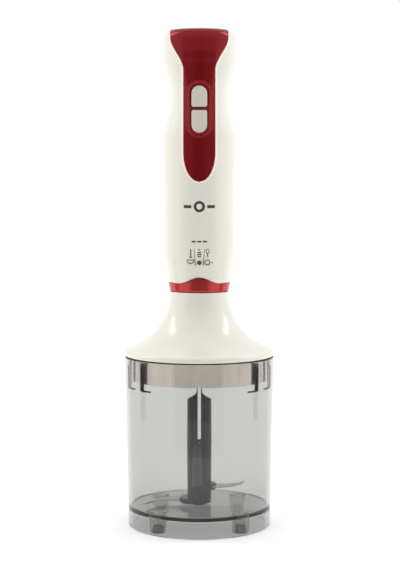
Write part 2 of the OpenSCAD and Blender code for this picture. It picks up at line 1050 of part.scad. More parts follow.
module cooling_fan() {
    color([0.25, 0.25, 0.27])
        translate([0, 0, grip_z + fan_z - 2])
            difference() {
                union() {
                    cylinder(r = fan_r, h = 1.2);
                    cylinder(r = 5, h = 6.5);
                    for (a = [0:40:320])
                        rotate([0, 0, a])
                            translate([4, -0.6, 0])
                                cube([fan_r - 4.5, 1.2, 6.5]);
                }
                translate([0, 0, -1])
                    cylinder(r = shaft_r, h = 10);
            }
}

module drive_coupling() {
    color([0.2, 0.2, 0.21])
        translate([0, 0, grip_z + 17.5])
            difference() {
                union() {
                    cylinder(r = 12, h = 4);
                    cylinder(r = 5, h = 6.5);
                    for (side = [-1, 1])
                        translate([-1.5, side > 0 ? 6.8 : -10.8, -6])
                            cube([3, 4, 8]);
                }
                translate([0, 0, shaft_low - 17.5])
                    cylinder(r = shaft_r, h = 10);
            }
}

// ---------- parts ----------

bowl();
bowl_pin();
foot_pads();
blade_hub();
hub_bush();
upper_blade();
lower_blade();
lid_cover();
lid_band();
lid_base();
lid_seal();
ring_gear();
gearbox_cover();
input_bush();
neck_bush();
output_bush();
lid_screws();
sun_gear();
lid_coupling();
planet_carrier();
planet_pins();
output_socket();
planet_gear_1();
planet_gear_2();
planet_gear_3();
neck_gasket();
front_housing();
rear_housing();
control_panel();
collar_ring();
coupling_socket();
cable_gland();
upper_button();
lower_button();
upper_button_spring();
lower_button_spring();
circuit_board();
board_components();
upper_switch();
lower_switch();
motor_can();
magnets();
brush_plate();
brushes();
upper_bearing();
lower_bearing();
lower_mount();
upper_mount();
mount_screws();
motor_shaft();
armature_core();
armature_windings();
commutator();
cooling_fan();
drive_coupling();
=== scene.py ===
import json
import math

import bmesh
import bpy
from mathutils import Matrix, Vector


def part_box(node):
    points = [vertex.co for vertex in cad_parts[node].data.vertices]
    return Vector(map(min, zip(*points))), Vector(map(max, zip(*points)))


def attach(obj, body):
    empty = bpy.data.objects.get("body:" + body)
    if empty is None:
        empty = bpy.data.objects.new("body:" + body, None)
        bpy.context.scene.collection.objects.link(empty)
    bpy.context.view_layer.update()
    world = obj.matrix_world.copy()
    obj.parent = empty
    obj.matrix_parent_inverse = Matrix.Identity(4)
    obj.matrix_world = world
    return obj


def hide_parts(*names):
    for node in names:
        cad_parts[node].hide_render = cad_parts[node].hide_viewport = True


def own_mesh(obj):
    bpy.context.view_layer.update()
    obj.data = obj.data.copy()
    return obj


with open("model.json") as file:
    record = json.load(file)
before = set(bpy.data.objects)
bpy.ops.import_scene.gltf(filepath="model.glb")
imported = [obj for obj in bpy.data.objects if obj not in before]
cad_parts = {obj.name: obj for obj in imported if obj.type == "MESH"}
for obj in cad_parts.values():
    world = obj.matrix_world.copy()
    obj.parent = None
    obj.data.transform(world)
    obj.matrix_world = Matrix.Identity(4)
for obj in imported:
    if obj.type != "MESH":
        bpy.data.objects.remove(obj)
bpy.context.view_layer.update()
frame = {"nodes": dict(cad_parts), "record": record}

# Metres, +Z up, front at -Y. Shapes are worked out in millimetres and scaled once, in make_mesh.
MM = 0.001
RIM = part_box("bowl")[1][2] / MM
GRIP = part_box("collar_ring")[0][2] / MM
PANEL_PROUD = 0.25  # the panel's face above the housing's
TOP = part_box("control_panel")[1][2] / MM - GRIP - PANEL_PROUD
FLOOR_TOP = 14.8
GUARD = 0.12  # distance from a rounded corner to its guard point
MERGE = 2e-7  # points closer than this, in metres, are one
SHARP = 35  # edges sharper than this, in degrees, stay sharp


# ---------- mesh helpers ----------

def make_mesh(name, verts, faces, look, sharp=SHARP):
    """A smooth-shaded mesh object from points in millimetres."""
    mesh = bpy.data.meshes.new(name)
    mesh.from_pydata([Vector(v) * MM for v in verts], [], faces)
    bm = bmesh.new()
    bm.from_mesh(mesh)
    bmesh.ops.remove_doubles(bm, verts=bm.verts, dist=MERGE)
    bmesh.ops.dissolve_degenerate(bm, edges=bm.edges, dist=MERGE / 2)
    bmesh.ops.recalc_face_normals(bm, faces=bm.faces)
    bm.to_mesh(mesh)
    bm.free()
    obj = bpy.data.objects.new(name, mesh)
    bpy.context.scene.collection.objects.link(obj)
    if look is not None:
        mesh.materials.append(look)
    shade(mesh, sharp)
    return obj


def shade(mesh, sharp=SHARP):
    mesh.polygons.foreach_set("use_smooth", [True] * len(mesh.polygons))
    mesh.set_sharp_from_angle(angle=math.radians(sharp))


def band_faces(loops, closed):
    """Faces between neighbouring loops of points; closed joins the last loop to the first."""
    size = len(loops[0])
    faces = []
    for j in range(len(loops) if closed else len(loops) - 1):
        a, b = j * size, ((j + 1) % len(loops)) * size
        for i in range(size):
            k = (i + 1) % size
            faces.append((a + i, a + k, b + k, b + i))
    return faces


def loft(name, loops, look, closed=True, sharp=SHARP):
    """A surface through loops of points; closed joins the last loop to the first."""
    verts = [p for loop in loops for p in loop]
    return make_mesh(name, verts, band_faces(loops, closed), look, sharp)


def thick_sheet(name, loops, look):
    """A sheet with thickness: each loop runs along the outside and back along the inside."""
    size = len(loops[0])
    half = size // 2
    faces = band_faces(loops, False)
    for base in (0, (len(loops) - 1) * size):
        faces += [(base + i, base + i + 1, base + size - 2 - i, base + size - 1 - i)
                  for i in range(half - 1)]
    return make_mesh(name, [p for loop in loops for p in loop], faces, look)


def close_ends(obj):
    """Fills the open ends of a lofted mesh."""
    bm = bmesh.new()
    bm.from_mesh(obj.data)
    bmesh.ops.holes_fill(bm, edges=[e for e in bm.edges if e.is_boundary])
    bmesh.ops.recalc_face_normals(bm, faces=bm.faces)
    bm.to_mesh(obj.data)
    bm.free()
    return obj


def lathe(name, profile, look, steps, centre=(0, 0)):
    """A closed profile of (radius, height) turned about a vertical axis."""
    loops = []
    for i in range(steps):
        c, s = math.cos(math.tau * i / steps), math.sin(math.tau * i / steps)
        loops.append([(centre[0] + r * c, centre[1] + r * s, z) for r, z in profile])
    return loft(name, loops, look)


def rounded(points, radii, steps=5):
    """A profile whose corners are rounded: radii has one radius for each point.

    A guard point beside each corner keeps the long flat stretches' shading flat.
    """
    out = []
    n = len(points)
    straight = math.radians(88)  # half the angle at a corner too flat to round
    most = 0.48  # share of a side that one corner may take
    for i, (p, radius) in enumerate(zip(points, radii)):
        if radius <= 0:
            out.append(tuple(p))
            continue
        p, before, after = Vector(p), Vector(points[i - 1]), Vector(points[(i + 1) % n])
        u, v = (before - p).normalized(), (after - p).normalized()
        half = math.acos(max(-1, min(1, u.dot(v)))) / 2
        if half > straight:
            out.append(tuple(p))
            continue
        reach = min(radius / math.tan(half), (before - p).length * most,
                    (after - p).length * most)
        r = reach * math.tan(half)
        centre = p + (u + v).normalized() * (r / math.sin(half))
        start, end = p + u * reach - centre, p + v * reach - centre
        turn = start.angle_signed(end)
        guard = reach + GUARD
        if guard < (before - p).length * 0.5:
            out.append(tuple(p + u * guard))
        for k in range(steps + 1):
            spin = Matrix.Rotation(-turn * k / steps, 2)
            out.append(tuple(centre + spin @ start))
        if guard < (after - p).length * 0.5:
            out.append(tuple(p + v * guard))
    return out


def prism(name, outline, low, high, axis="Z"):
    """A cutter: an outline extruded along an axis from low to high, in millimetres."""
    place = {"Z": lambda a, b, h: (a, b, h), "Y": lambda a, b, h: (a, h, b)}[axis]
    n = len(outline)
    verts = [place(a, b, h) for h in (low, high) for a, b in outline]
    faces = [tuple(range(n)), tuple(range(2 * n - 1, n - 1, -1))]
    faces += [(i, (i + 1) % n, n + (i + 1) % n, n + i) for i in range(n)]
    return make_mesh(name, verts, faces, None)


def rectangle(half_x, half_y, centre=(0, 0)):
    x, y = centre
    return [(x - half_x, y - half_y), (x + half_x, y - half_y),
            (x + half_x, y + half_y), (x - half_x, y + half_y)]


def circle(r, degrees):
    """The point at an angle on a circle about the origin."""
    return r * math.cos(math.radians(degrees)), r * math.sin(math.radians(degrees))


def sector(name, r_low, r_high, a_low, a_high, low, high, steps=24):
    """A solid part of a ring between two angles in degrees."""
    angles = [a_low + (a_high - a_low) * i / steps for i in range(steps + 1)]
    outline = [circle(r_high, a) for a in angles] + [circle(r_low, a) for a in reversed(angles)]
    return prism(name, outline, low, high)


def combine(obj, others, operation, sharp=SHARP):
    """Joins the others to obj, or cuts them from it, and removes them."""
    for other in others:
        step = obj.modifiers.new("step", "BOOLEAN")
        step.operation = operation
        step.solver = "EXACT"
        step.object = other
    bpy.context.view_layer.update()
    graph = bpy.context.evaluated_depsgraph_get()
    result = bpy.data.meshes.new_from_object(obj.evaluated_get(graph))
    obj.modifiers.clear()
    obj.data = result
    for other in others:
        bpy.data.objects.remove(other)
    shade(result, sharp)
    return obj




def smooth(t):
    """Eases from 0 to 1 as t does, with level ends."""
    t = max(0.0, min(1.0, t))
    return t * t * (3 - 2 * t)


# ---------- materials ----------

def material(name, colour, rough, scale=300, colour_shift=0.04, rough_shift=0.05, bump=0.0,
             bump_scale=2000, stretch=(1, 1, 1), **shader):
    """A procedural material: noise moves the colour and roughness, and lifts the surface."""
    mat = bpy.data.materials.new(name)
    mat.use_nodes = True
    tree = mat.node_tree
    nodes, links = tree.nodes, tree.links
    bsdf = nodes["Principled BSDF"]
    for key, value in shader.items():
        bsdf.inputs[key.replace("_", " ")].default_value = value
    place = nodes.new("ShaderNodeTexCoord")
    mapping = nodes.new("ShaderNodeMapping")
    mapping.inputs["Scale"].default_value = stretch
    links.new(place.outputs["Object"], mapping.inputs["Vector"])

    low_end, high_end = 0.3, 0.7  # where most of the noise's values lie

    def noise(size, detail):
        node = nodes.new("ShaderNodeTexNoise")
        node.inputs["Scale"].default_value = size
        node.inputs["Detail"].default_value = detail
        links.new(mapping.outputs["Vector"], node.inputs["Vector"])
        return node

    def spread(source, low, high, target):
        node = nodes.new("ShaderNodeMapRange")
        node.inputs["From Min"].default_value = low_end
        node.inputs["From Max"].default_value = high_end
        node.inputs["To Min"].default_value = low
        node.inputs["To Max"].default_value = high
        links.new(source.outputs["Fac"], node.inputs["Value"])
        links.new(node.outputs["Result"], target)

    tone = noise(scale, 3)
    ramp = nodes.new("ShaderNodeValToRGB")
    dark, light = ramp.color_ramp.elements
    dark.position, light.position = low_end, high_end
    dark.color = [max(0, c * (1 - colour_shift)) for c in colour] + [1]
    light.color = [min(1, c * (1 + colour_shift)) for c in colour] + [1]
    links.new(tone.outputs["Fac"], ramp.inputs["Fac"])
    links.new(ramp.outputs["Color"], bsdf.inputs["Base Color"])
    spread(noise(scale * 0.4, 2), max(0, rough - rough_shift), min(1, rough + rough_shift),
           bsdf.inputs["Roughness"])
    if bump:
        lift = nodes.new("ShaderNodeBump")
        lift.inputs["Strength"].default_value = bump
        lift.inputs["Distance"].default_value = 0.0001
        links.new(noise(bump_scale, 2).outputs["Fac"], lift.inputs["Height"])
        links.new(lift.outputs["Normal"], bsdf.inputs["Normal"])
    return mat


def darker_above(mat, height, tilt, share):
    """Multiplies the material's colour by share above a slightly tilted height, in metres."""
    blur = 0.0006
    tree = mat.node_tree
    nodes, links = tree.nodes, tree.links
    base = nodes["Principled BSDF"].inputs["Base Color"]
    place = nodes.new("ShaderNodeTexCoord")
    split = nodes.new("ShaderNodeSeparateXYZ")
    links.new(place.outputs["Object"], split.inputs["Vector"])
    lean = nodes.new("ShaderNodeMath")
    lean.operation = "MULTIPLY_ADD"
    lean.inputs[1].default_value = tilt
    links.new(split.outputs["X"], lean.inputs[0])
    links.new(split.outputs["Z"], lean.inputs[2])
    step = nodes.new("ShaderNodeMapRange")
    step.interpolation_type = "SMOOTHSTEP"
    step.inputs["From Min"].default_value = height - blur
    step.inputs["From Max"].default_value = height + blur
    links.new(lean.outputs["Value"], step.inputs["Value"])
    mix = nodes.new("ShaderNodeMix")
    mix.data_type = "RGBA"
    mix.blend_type = "MULTIPLY"
    colour_a, colour_b, mixed = mix.inputs[6], mix.inputs[7], mix.outputs[2]
    colour_b.default_value = (share, share, share, 1)
    links.new(step.outputs["Result"], mix.inputs["Factor"])
    links.new(base.links[0].from_socket, colour_a)
    links.new(mixed, base)
    return mat


def smoky_plastic(name, tint, density):
    """Clear plastic, tinted where light passes its surface and a little more by the path inside."""
    mat = material(name, tint, 0.03, scale=120, colour_shift=0.006, rough_shift=0.02,
                   bump=0.02, bump_scale=60, Transmission_Weight=1.0, IOR=1.46)
    tree = mat.node_tree
    absorb = tree.nodes.new("ShaderNodeVolumeAbsorption")
    absorb.inputs["Color"].default_value = (0.478, 0.476, 0.464, 1)
    absorb.inputs["Density"].default_value = density
    tree.links.new(absorb.outputs["Volume"], tree.nodes["Material Output"].inputs["Volume"])
    return mat


CREAM = material("cream_plastic", (0.825, 0.803, 0.705), 0.3, scale=60, colour_shift=0.003,
                 rough_shift=0.01, Coat_Weight=0.5, Coat_Roughness=0.08)
# A paler copy of the cream: painted highlight for the bead round the panel.
TRIM_HIGHLIGHT_LOOK = material("cream_painted_highlight", (0.97, 0.90, 0.84), 0.2, colour_shift=0.01, bump=0.01,
                bump_scale=200, Coat_Weight=0.5, Coat_Roughness=0.08)
PANEL = material("panel_plastic", (0.22, 0.008, 0.012), 0.2, colour_shift=0.02,
                 rough_shift=0.03, bump=0.01, bump_scale=200, Metallic=0.3,
                 Specular_Tint=(1.0, 0.45, 0.42, 1.0))
RING = material("ring_plastic", (0.47, 0.045, 0.045), 0.24, colour_shift=0.02,
                rough_shift=0.03, bump=0.01, bump_scale=200, Metallic=0.85)
BUTTON = material("button_plastic", (0.64, 0.61, 0.53), 0.5, scale=2500, colour_shift=0.08,
                  rough_shift=0.08, bump=0.35, bump_scale=3500)
# The stretched colour noise draws vertical streaks: partly the steel's own brushed grain, partly
# painted reflection streaks.
BAND = material("band_steel", (0.84, 0.78, 0.69), 0.08, scale=90, colour_shift=0.12,
                rough_shift=0.03, bump=0.02, bump_scale=500, stretch=(1, 1, 0.05), Metallic=1.0)
SEAL = material("seal_rubber", (0.03, 0.028, 0.026), 0.55, scale=900, colour_shift=0.2, bump=0.1)
HUB = darker_above(material("hub_plastic", (0.06, 0.065, 0.067), 0.16, scale=900,
                            colour_shift=0.08, rough_shift=0.03, bump=0.04, bump_scale=1800),
                   height=0.0785, tilt=0.2, share=0.45)
BLADE = material("blade_steel", (0.62, 0.62, 0.63), 0.24, scale=500, colour_shift=0.06, bump=0.1,
                 bump_scale=900, stretch=(6, 1, 1), Metallic=1.0)
PIN = material("polished_steel", (0.72, 0.72, 0.73), 0.16, scale=500, colour_shift=0.04, bump=0.05,
               bump_scale=900, stretch=(1, 1, 8), Metallic=1.0)
# A lighter copy of the hub's plastic, as a painted highlight on the tongue.
TONGUE_HIGHLIGHT_LOOK = material("hub_plastic_painted_highlight", (0.115, 0.12, 0.122), 0.2, scale=900, colour_shift=0.08,
                       rough_shift=0.03, bump=0.04, bump_scale=1800)
PAD = material("pad_rubber", (0.7, 0.7, 0.68), 0.6, scale=900, colour_shift=0.08, bump=0.1)
PRINT = material("print_ink", (0.05, 0.052, 0.048), 0.5, scale=3000, colour_shift=0.15, bump=0.05)
BOWL = smoky_plastic("clear_plastic", (0.80, 0.797, 0.785), 130)
# Near-black painted shade for the clear ribs inside the rim, which light leaves sideways.
RIB_SHADE_LOOK = material("rib_painted_shade", (0.02, 0.02, 0.018), 0.2, colour_shift=0.1, bump=0.02)
SLOT_LOOKS = {
    "cream_plastic": CREAM,
    "panel_plastic": PANEL,
    "ring_plastic": RING,
    "button_plastic": BUTTON,
    "band_steel": BAND,
    "seal_rubber": SEAL,
    "hub_plastic": HUB,
    "blade_steel": BLADE,
    "polished_steel": PIN,
    "pad_rubber": PAD,
    "clear_plastic": BOWL,
    "bush_bronze": material("bush_bronze", (0.5, 0.34, 0.16), 0.32, bump=0.1, Metallic=1.0),
    "inner_plastic": material("inner_plastic", (0.55, 0.54, 0.5), 0.45, bump=0.1),
    "gear_plastic": material("gear_plastic", (0.74, 0.72, 0.62), 0.42, bump=0.08,
                             Subsurface_Weight=0.05),
    "screw_steel": material("screw_steel", (0.45, 0.45, 0.46), 0.3, bump=0.12,
                            stretch=(1, 1, 6), Metallic=1.0),
    "dark_plastic": material("dark_plastic", (0.035, 0.035, 0.038), 0.42, colour_shift=0.15,
                             bump=0.12),
    "board_laminate": material("board_laminate", (0.02, 0.12, 0.05), 0.35, colour_shift=0.12,
                               bump=0.1),
    "magnet_ferrite": material("magnet_ferrite", (0.045, 0.045, 0.05), 0.7, colour_shift=0.2,
                               bump=0.3),
    "core_steel": material("core_steel", (0.22, 0.22, 0.23), 0.4, bump=0.3, bump_scale=900,
                           stretch=(0.1, 0.1, 4), Metallic=1.0),
    "copper_wire": material("copper_wire", (0.5, 0.16, 0.06), 0.35, bump=0.4, bump_scale=1500,
                            Metallic=1.0),
}


def finish_piece(obj, body, slot_name, *nodes):
    """The piece rides on its body and stands for the CAD nodes, which are hidden; slot_name is not
    used.
    """
    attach(obj, body)
    if nodes:
        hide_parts(*nodes)
    return obj


# ---------- handle surface, in millimetres above the handle's lower end ----------

GRIP_R = 27.1
WAIST_R = 21.3
WAIST_DEPTH_R = 25.3
WAIST_Z = 144.5
HEAD_R = 27.4
HEAD_Z = 191.3
CORNER_R = 6.5
CORNER_H = 6.0
LOW_PROFILE = [(0, 22.2), (6.5, 23.4), (13.5, 24.6), (22.5, 26.3)]
CONE_SLOPE = 0.185
COLLAR_TOP = 6.5
ARCH = 4.6
ARCH_HALF = 15.5
PANEL_TIP = 82.5
PANEL_HALF = 12.0
PANEL_ROUND = 22.0
PANEL_FLARE = 166.0
PANEL_FLARE_LEN = 25.0
PANEL_WIDE = 21.9
BUTTON_HALF = 5.9
BUTTON_SKIRT = 3.6  # how far a button's side reaches behind the front surface
BUTTONS = {"upper": (138.5, 154.5, True), "lower": (119.2, 136.3, False)}  # low, high, round top


def cone_r(z):
    """Radius of the barrel and its narrowing lower end, with a soft corner between them."""
    if z <= LOW_PROFILE[-1][0]:
        for (z0, r0), (z1, r1) in zip(LOW_PROFILE, LOW_PROFILE[1:]):
            if z <= z1:
                return r0 + (r1 - r0) * (z - z0) / (z1 - z0)
    soft, sharpness = 1.6, 6
    rise = LOW_PROFILE[-1][1] + CONE_SLOPE * (z - LOW_PROFILE[-1][0])
    over = (rise - GRIP_R) / soft
    return GRIP_R - soft * math.log1p(math.exp(-over * sharpness)) / sharpness


def half_width(z):
    """Half width seen from the front: a deep waist."""
    d, reach, turn = z - WAIST_Z, 28, 150
    if d < -reach:
        return cone_r(z)
    if d > reach:
        return GRIP_R + (HEAD_R - GRIP_R) * smooth((d - reach) / 8)
    share = (1 - math.cos(math.radians(turn * d / reach))) / (1 - math.cos(math.radians(turn)))
    return WAIST_R + (GRIP_R - WAIST_R) * share


def half_depth(z):
    """Half depth seen from the side: a shallow waist."""
    d, reach = z - WAIST_Z, 30
    if d < -reach:
        return cone_r(z)
    if d > reach:
        return GRIP_R + (HEAD_R - GRIP_R) * smooth((d - reach) / 6)
    share = (1 - math.cos(math.radians(180 * d / reach))) / 2
    return WAIST_DEPTH_R + (GRIP_R - WAIST_DEPTH_R) * share


def wall_rings(heights):
    """Rings of the side wall: each turns an inset d into (half width, half depth, z)."""
    return [lambda d, z=z: (half_width(z) - d, half_depth(z) - d, z) for z in heights]


def crown_rings():
    """Rings over the rounded corner and the slightly domed top, ending on the axis."""
    rings = []
    flat = HEAD_R - CORNER_R
    for i in range(1, 13):
        a = math.radians(90 * i / 12)
        rings.append(lambda d, a=a: (
            flat + (CORNER_R - d) * math.cos(a),
            flat + (CORNER_R - d) * math.cos(a),
            HEAD_Z + (CORNER_H - d) * math.sin(a)))
    for share in (0.9, 0.75, 0.5, 0.25, 0.0):
        rings.append(lambda d, s=share: (
            flat * s, flat * s, HEAD_Z + CORNER_H - d + (TOP - HEAD_Z - CORNER_H) * (1 - s * s)))
    return rings


def span(low, high, step):
    """Evenly spaced values from low to high, about step apart."""
    n = max(1, round((high - low) / step))
    return [low + (high - low) * i / n for i in range(n + 1)]


def collar_top(x, y):
    """Height of the collar ring's upper edge: an arch at the front."""
    if y > 0 or abs(x) > ARCH_HALF:
        return COLLAR_TOP
    return COLLAR_TOP + ARCH * (1 + math.cos(math.pi * x / ARCH_HALF)) / 2


def housing(name, start, end):
    """Half of the handle's cream shell between two angles, with rounded visible edges."""
    wall, edge = 2.4, 0.35
    gap, fade = 0.12, 30  # gap above the collar; rings over which its arch fades out
    angles = [math.radians(a) for a in span(start, end, 1.5)]
    trim = math.radians(0.5)
    angles = [angles[0], angles[0] + trim] + angles[1:-1] + [angles[-1] - trim, angles[-1]]
    heights = [COLLAR_TOP, COLLAR_TOP + edge] + span(COLLAR_TOP + 1, HEAD_Z, 1.0)
    rings = wall_rings(heights) + crown_rings()

    def point(ring, angle, d, index):
        a, b, z = ring(d)
        x, y = a * math.cos(angle), b * math.sin(angle)
        if index <= fade:
            lift = collar_top(x, y) + gap - COLLAR_TOP
            z += lift * (1 - smooth((index - 1) / fade))
        return x, y, GRIP + z

    loops = []
    for k, angle in enumerate(angles):
        side = edge if k in (0, len(angles) - 1) else 0
        outer = [point(r, angle, max(side, edge if i == 0 else 0), i) for i, r in enumerate(rings)]
        inner = [point(r, angle, wall, i) for i, r in enumerate(rings)]
        loops.append(outer + inner[::-1])
    return thick_sheet(name, loops, CREAM)


def button_distance(x, z):
    """Distance outside the outline that holds both buttons; below zero inside it."""
    low, high = BUTTONS["lower"][0] + BUTTON_HALF, BUTTONS["upper"][1] - BUTTON_HALF
    dz = z - max(low, min(high, z))
    return math.hypot(x, dz) - BUTTON_HALF


def bezel_height(x, z):
    """Height of the raised rim round the buttons above the panel."""
    d, crest, shoulder = button_distance(x, z), 1.5, 2.6
    if d < crest:
        return 1 - 0.55 * min(1, (crest - d) / crest) ** 2
    return 1 - smooth((d - crest) / shoulder)


def panel_half_width(z):
    """Half width of the red panel, with a round tip below and a flare above."""
    if z < PANEL_TIP + PANEL_ROUND:
        t = 1 - (z - PANEL_TIP) / PANEL_ROUND
        return PANEL_HALF * math.sqrt(max(0, 1 - t * t))
    return PANEL_HALF + (PANEL_WIDE - PANEL_HALF) * smooth((z - PANEL_FLARE) / PANEL_FLARE_LEN)


def panel_heights():
    """Heights of the panel's rings, close together near the tip."""
    tip = [PANEL_TIP + PANEL_ROUND * (1 - math.cos(math.radians(a))) for a in span(0, 90, 2.5)]
    tip[0] = PANEL_TIP + 0.001
    return tip[:-1] + span(PANEL_TIP + PANEL_ROUND, HEAD_Z, 0.55)


def button_outline(kind, grow, corner=1.6):
    """Outline of a push button seen from the front, one end round and one nearly flat."""
    low, high, round_top = BUTTONS[kind]
    w = BUTTON_HALF + grow
    low, high = low - grow, high + grow
    points = []
    far = high - w if round_top else low + w
    sign = 1 if round_top else -1
    for a in span(0, 180, 6):
        x, z = circle(w, a)
        points.append((x, far + sign * z))
    flat = low if round_top else high
    for side in (-1, 1):
        turns = span(0, 90, 15)
        for a in (turns if side < 0 else turns[::-1]):
            x, z = circle(corner, a)
            points.append((side * (w - corner) + side * x, flat + sign * corner - sign * z))
    return points


def front_y(x, z):
    """Y of the handle's front surface at x and height z."""
    a, b = half_width(z), half_depth(z)
    return -b * math.sqrt(max(0, 1 - (x / a) ** 2))


def panel():
    """The red control panel with its raised rim and rounded edges; its two button openings are cut
    after it is made.
    """
    proud, depth, edge = PANEL_PROUD, 1.4, 0.5
    fall_depth = proud + 0.15  # how far the rounded edge drops
    heights = panel_heights()
    rings = [(r, panel_half_width(z)) for r, z in zip(wall_rings(heights), heights)]
    rings += [(r, PANEL_WIDE) for r in crown_rings()]
    inner_u = span(-1, 1, 1 / 26)[1:-1]
    loops = []
    for ring, w in rings:
        a = ring(0)[0]
        reach = math.asin(min(1, w / a)) if a > w else math.pi / 2
        near = [min(0.4, d / max(w, 0.05)) for d in (0.0, 0.06, 0.2, edge)]
        us = [-1 + n for n in near] + [u * (1 - near[-1]) * 0.98 for u in inner_u]
        us += [1 - n for n in reversed(near)]
        outer, inner = [], []
        for u in us:
            fall = max(0.0, 1 - (1 - abs(u)) * w / edge)
            angle = u * reach
            ra, rb, z = ring(-proud + fall_depth * (1 - math.sqrt(max(0, 1 - fall * fall))))
            x, y = ra * math.sin(angle), -rb * math.cos(angle)
            y -= bezel_height(x, z)
            outer.append((x, y, GRIP + z))
            ra, rb, z = ring(depth)
            inner.append((ra * math.sin(angle), -rb * math.cos(angle), GRIP + z))
        loops.append(outer + inner[::-1])
    return thick_sheet("panel_body", loops, PANEL)


def button_cutters(grow):
    """Cutters for the two button openings, larger than the buttons by grow."""
    return [prism("cut_" + kind, [(x, GRIP + z) for x, z in button_outline(kind, grow)],
                  -40, -8, "Y") for kind in BUTTONS]


def button_cap(kind):
    """A push button: rounded edge, slightly crowned face and a long skirt inside the handle."""
    outline = button_outline(kind, 0)
    low, high, _ = BUTTONS[kind]
    middle = (low + high) / 2
    # Corner radius, height of the face above the surface, rise of the face's middle.
    edge, face, crown = 0.75, 1.25, 0.28
    rings = [(1.0, -BUTTON_SKIRT), (1.0, face - edge)]
    rings += [(1 - 0.11 * (1 - math.cos(math.radians(a))), face - edge + circle(edge, a)[1])
              for a in (20, 40, 60, 80)]
    rings += [(share, face + crown * (1 - share * share)) for share in (0.8, 0.6, 0.4, 0.2, 0.0)]
    loops = [[(0, front_y(0, middle) + BUTTON_SKIRT, GRIP + middle)] * len(outline)]
    for share, height in rings:
        loop = []
        for x, z in outline:
            px, pz = x * share, middle + (z - middle) * share
            loop.append((px, front_y(px, pz) - height, GRIP + pz))
        loops.append(loop)
    return loft(kind + "_key_cap", loops, BUTTON, closed=False, sharp=50)


def button_dome(kind):
    """The silicone dome that returns a button, drawn at rest on the handle; it does not flatten as
    its button is pressed in.
    """
    (_, front, low), (_, back, high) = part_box(kind + "_button_spring")
    rise, middle = (back - front) / MM, (low + high) / 2
    foot_in, foot_out, tip_in, tip_out = 4.9, 6.4, 2.6, 3.6
    profile = [(foot_in, 0), (foot_out, 0), (foot_out, 1), (tip_out, rise - 1), (tip_out, rise),
               (tip_in, rise), (tip_in, rise - 1.2), (foot_in, 1.6)]
    radii = [0.1, 0.2, 0.3, 0.4, 0.2, 0.2, 0.2, 0.3]
    obj = lathe(kind + "_dome", rounded(profile, radii), SEAL, 64)
    towards_front = Matrix.Rotation(math.radians(90), 4, "X")
    obj.data.transform(Matrix.Translation((0, back, middle)) @ towards_front)
    finish_piece(obj, "handle", "seal_rubber", kind + "_button_spring")
    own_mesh(obj)


def collar():
    """The red ring between lid and handle, arched at the front, with rounded edges."""
    steps, edge, low, bore, middle = 192, 0.35, 0.1, 20.6, 23
    # Share of the height, inset from the barrel's surface and shift in height, from the bottom up.
    stations = [(0, edge, 0), (0, 0.1, 0.12), (0.05, 0, 0)]
    stations += [(share, -0.08, 0) for share in span(0.1, 0.9, 0.1)]
    stations += [(0.95, 0, 0), (1, 0.1, -0.12), (1, edge, 0)]
    loops = []
    for i in range(steps):
        a = math.tau * i / steps
        c, s = math.cos(a), math.sin(a)
        rise = collar_top(middle * c, middle * s) - low
        loop = []
        for share, inset, shift in stations:
            z = low + share * rise + shift
            r = cone_r(z) - inset
            loop.append((r * c, r * s, GRIP + z))
        loop += [(bore * c, bore * s, loop[-1][2]), (bore * c, bore * s, GRIP + low)]
        loops.append(loop)
    return loft("collar_body", loops, RING)


def surface_strip(name, path, width, proud, look, closed=False):
    """A thin printed or moulded line that follows the handle's front: path of (x, z)."""
    # Sideways share and height above the surface, round the line's section.
    section = [(-1, 0.02), (-0.6, proud), (0, proud * 1.15), (0.6, proud), (1, 0.02),
               (0.6, -0.3), (-0.6, -0.3)]
    points = [Vector(p) for p in path]
    n = len(points)
    loops = []
    for i, p in enumerate(points):
        before = points[i - 1] if (i > 0 or closed) else p
        after = points[(i + 1) % n] if (i < n - 1 or closed) else p
        along = (after - before).normalized()
        across = Vector((-along.y, along.x)) * width / 2
        loop = []
        for side, height in section:
            x, z = p + across * side
            loop.append((x, front_y(x, z) - height, GRIP + z))
        loops.append(loop)
    obj = loft(name, loops, look, closed)
    return obj if closed else close_ends(obj)


def join(name, objects):
    """One object from several, with their meshes' faces kept apart."""
    mesh = bpy.data.meshes.new(name)
    bm = bmesh.new()
    for obj in objects:
        bm.from_mesh(obj.data)
    bm.to_mesh(mesh)
    bm.free()
    mesh.materials.append(objects[0].data.materials[0])
    for obj in objects:
        bpy.data.objects.remove(obj)
    joined = bpy.data.objects.new(name, mesh)
    bpy.context.scene.collection.objects.link(joined)
    shade(mesh)
    return joined


def arc_path(cx, cz, r, start, end, step=15, stretch=1.0):
    """A path along an arc between two angles in degrees."""
    return [(cx + x, cz + stretch * z) for x, z in (circle(r, a) for a in span(start, end, step))]


def subdivided(points, step=0.8):
    """A path with points added so that no step is longer than step."""
    out = [points[0]]
    for p, q in zip(points, points[1:]):
        n = max(1, math.ceil(math.dist(p, q) / step))
        out += [(p[0] + (q[0] - p[0]) * k / n, p[1] + (q[1] - p[1]) * k / n)
                for k in range(1, n + 1)]
    return out


